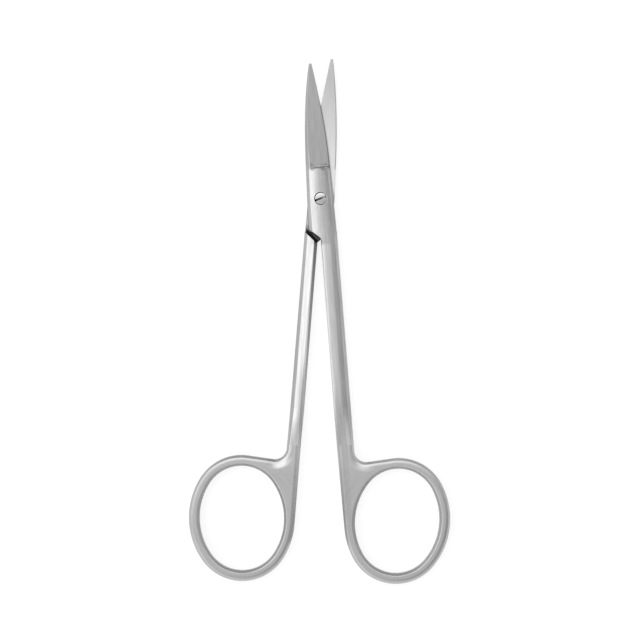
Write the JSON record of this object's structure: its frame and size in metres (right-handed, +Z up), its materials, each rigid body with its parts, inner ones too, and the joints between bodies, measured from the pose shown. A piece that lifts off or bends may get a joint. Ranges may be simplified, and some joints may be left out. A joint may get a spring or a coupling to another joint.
{
  "type": "iris scissors",
  "caption": "Slim straight iris scissors with pointed blades, a slotted joint screw, long shanks and oval finger rings, lying slightly open.",
  "frame": {"origin": "on the resting plane, under the middle of the footprint in the slightly open rest pose", "axes": "+Z up, along the joint screw; +Y towards the blade tips; +X to the right, towards the ring of the upper half"},
  "size_m": [0.057, 0.1146, 0.003],
  "materials": {
    "forged_steel": "satin ground and polished stainless steel",
    "screw_steel": "fine turned stainless steel"
  },
  "bodies": {
    "lower_half": {"lower_half": "forged_steel", "joint_screw": "screw_steel"},
    "upper_half": {"upper_half": "forged_steel"}
  },
  "joints": [
    {"name": "scissor_joint", "type": "hinge", "parent": "lower_half", "child": "upper_half", "pos_m": [0.00027, 0.02677, 0.0015], "axis": [0, 0, 1], "range_deg": [-8.1, 120]}
  ]
}
